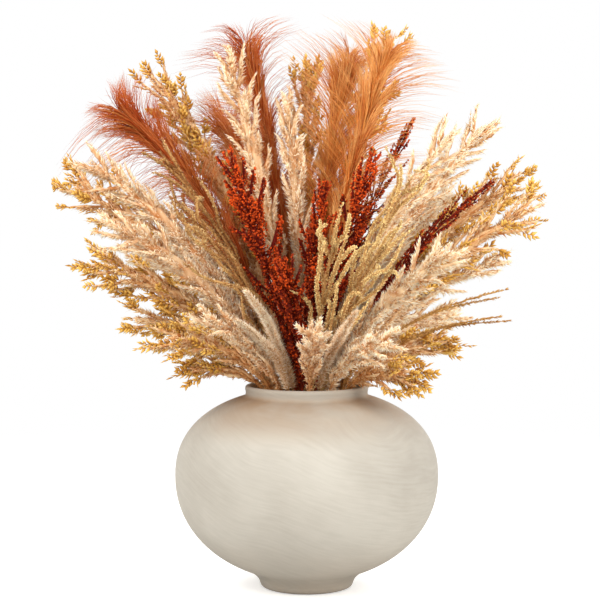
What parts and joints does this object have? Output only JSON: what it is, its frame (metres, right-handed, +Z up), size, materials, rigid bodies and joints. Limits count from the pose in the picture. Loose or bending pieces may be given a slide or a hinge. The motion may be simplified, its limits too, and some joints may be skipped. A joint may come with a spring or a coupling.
{
  "type": "vase of dried flowers",
  "caption": "Squat round stone-coloured vase with a short collar, filled with a wide fan of dried cream and gold plumes, rust hair plumes, sorghum heads and twigs.",
  "frame": {"origin": "centre of the underside of the vase's foot", "axes": "+Z up, the arrangement's front faces -Y, its wide side runs along X"},
  "size_m": [0.5924, 0.4469, 0.7223],
  "materials": {
    "stone": "matt, unglazed",
    "foam": "matt, crumbly",
    "cream_fluff": "soft, fibrous",
    "gold_spikelets": "dry, fibrous",
    "rust_hair": "fine, slightly silky hair",
    "sorghum_seed": "dry seed coats, slight sheen",
    "tan_seed": "dry, granular",
    "tan_twig": "dry bark"
  },
  "bodies": {
    "root": {"foam": "foam", "vase": "stone", "cream_plume_1": "cream_fluff", "cream_plume_2": "cream_fluff", "cream_plume_3": "cream_fluff", "cream_plume_4": "cream_fluff", "cream_plume_5": "cream_fluff", "cream_plume_6": "cream_fluff", "cream_plume_7": "cream_fluff", "cream_plume_8": "cream_fluff", "cream_plume_9": "cream_fluff", "cream_plume_10": "cream_fluff", "cream_plume_11": "cream_fluff", "cream_plume_12": "cream_fluff", "cream_plume_13": "cream_fluff", "cream_plume_14": "cream_fluff", "cream_plume_15": "cream_fluff", "cream_plume_16": "cream_fluff", "cream_plume_17": "cream_fluff", "gold_plume_1": "gold_spikelets", "gold_plume_2": "gold_spikelets", "gold_plume_3": "gold_spikelets", "gold_plume_4": "gold_spikelets", "gold_plume_5": "gold_spikelets", "gold_plume_6": "gold_spikelets", "gold_plume_7": "gold_spikelets", "gold_plume_8": "gold_spikelets", "gold_plume_9": "gold_spikelets", "gold_plume_10": "gold_spikelets", "gold_plume_11": "gold_spikelets", "gold_plume_12": "gold_spikelets", "gold_plume_13": "gold_spikelets", "gold_plume_14": "gold_spikelets", "gold_plume_15": "gold_spikelets", "gold_plume_16": "gold_spikelets", "hair_plume_1": "rust_hair", "hair_plume_2": "rust_hair", "hair_plume_3": "rust_hair", "hair_plume_4": "rust_hair", "hair_plume_5": "rust_hair", "seed_strands_1": "tan_seed", "seed_strands_2": "tan_seed", "seed_strands_3": "tan_seed", "seed_strands_4": "tan_seed", "seed_strands_5": "tan_seed", "seed_strands_6": "tan_seed", "soft_tail_1": "cream_fluff", "soft_tail_2": "cream_fluff", "soft_tail_3": "cream_fluff", "sorghum_1": "sorghum_seed", "sorghum_2": "sorghum_seed", "sorghum_3": "sorghum_seed", "sorghum_4": "sorghum_seed", "sorghum_5": "sorghum_seed", "sorghum_6": "sorghum_seed", "sorghum_7": "sorghum_seed", "twig_1": "tan_twig", "twig_2": "tan_twig"}
  },
  "joints": []
}
